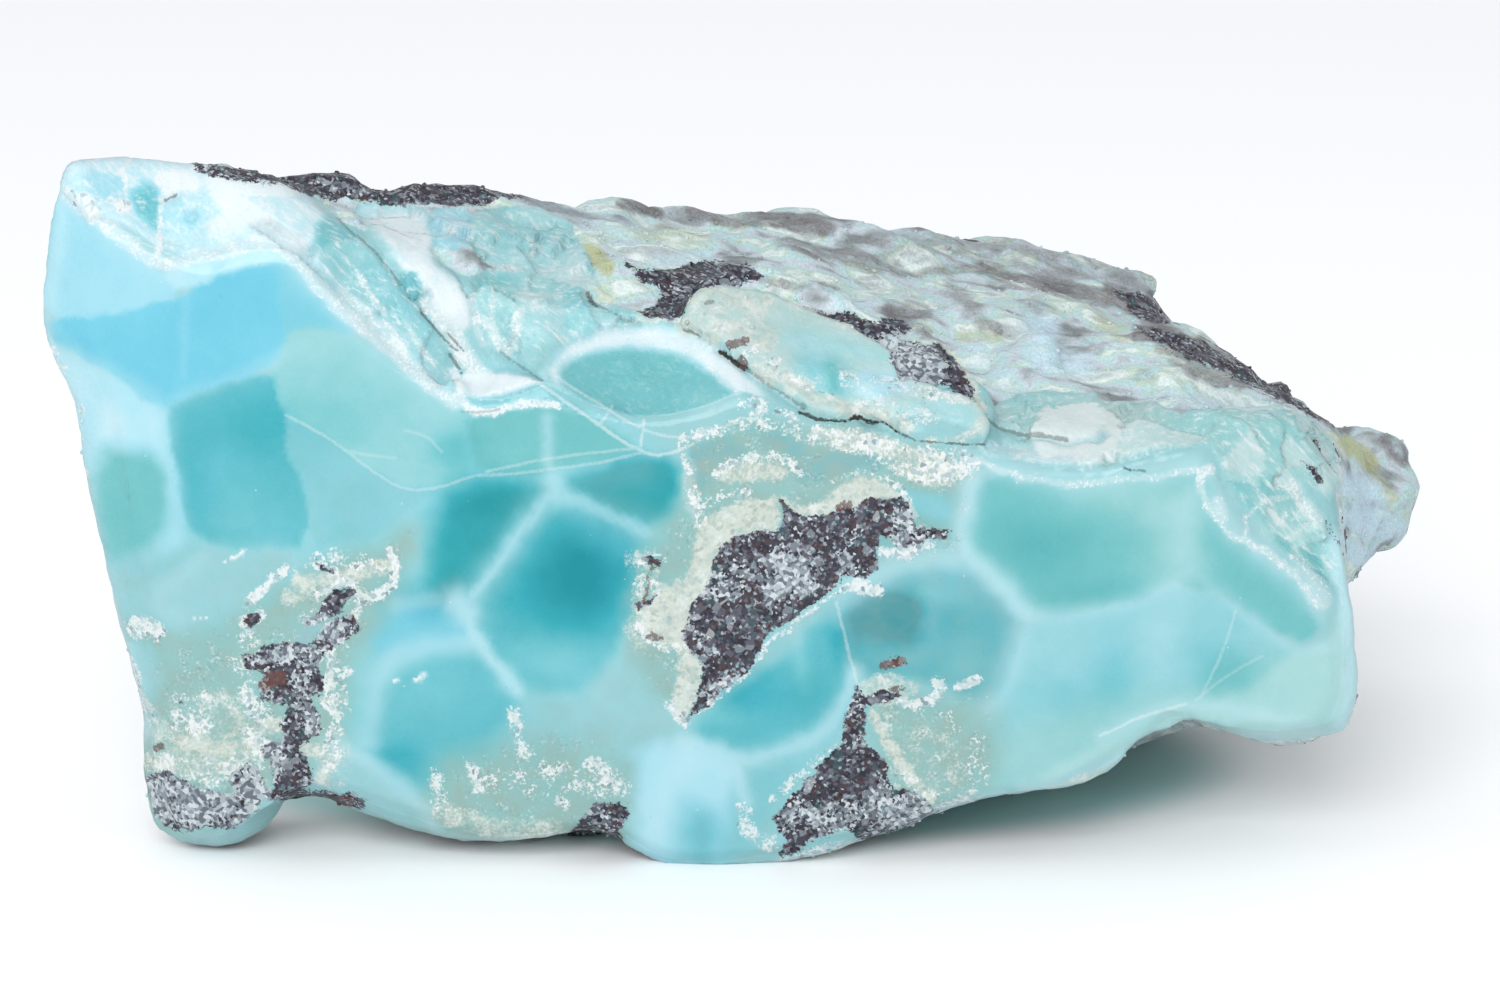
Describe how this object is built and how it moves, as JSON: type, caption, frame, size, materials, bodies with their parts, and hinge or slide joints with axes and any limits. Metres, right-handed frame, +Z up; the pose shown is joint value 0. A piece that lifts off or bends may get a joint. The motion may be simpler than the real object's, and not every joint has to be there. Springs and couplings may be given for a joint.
{
  "type": "raw larimar stone with one polished face",
  "caption": "Raw larimar: a wedge of blue-green pectolite in dark basalt, broken and ledged on top and behind, with one domed polished face; it rests on a worn flat patch.",
  "frame": {"origin": "bottom centre of the stone's box, on the surface it rests on", "axes": "+Z up; +X along the stone's length, from its tall left end to its low right end; the polished face looks along -Y"},
  "size_m": [0.1242, 0.0658, 0.0616],
  "materials": {
    "stone": "blue-green stone with paler cell walls and dark grey-brown rock, satin polish in front and rough elsewhere"
  },
  "bodies": {
    "root": {"larimar": "stone"}
  },
  "joints": []
}
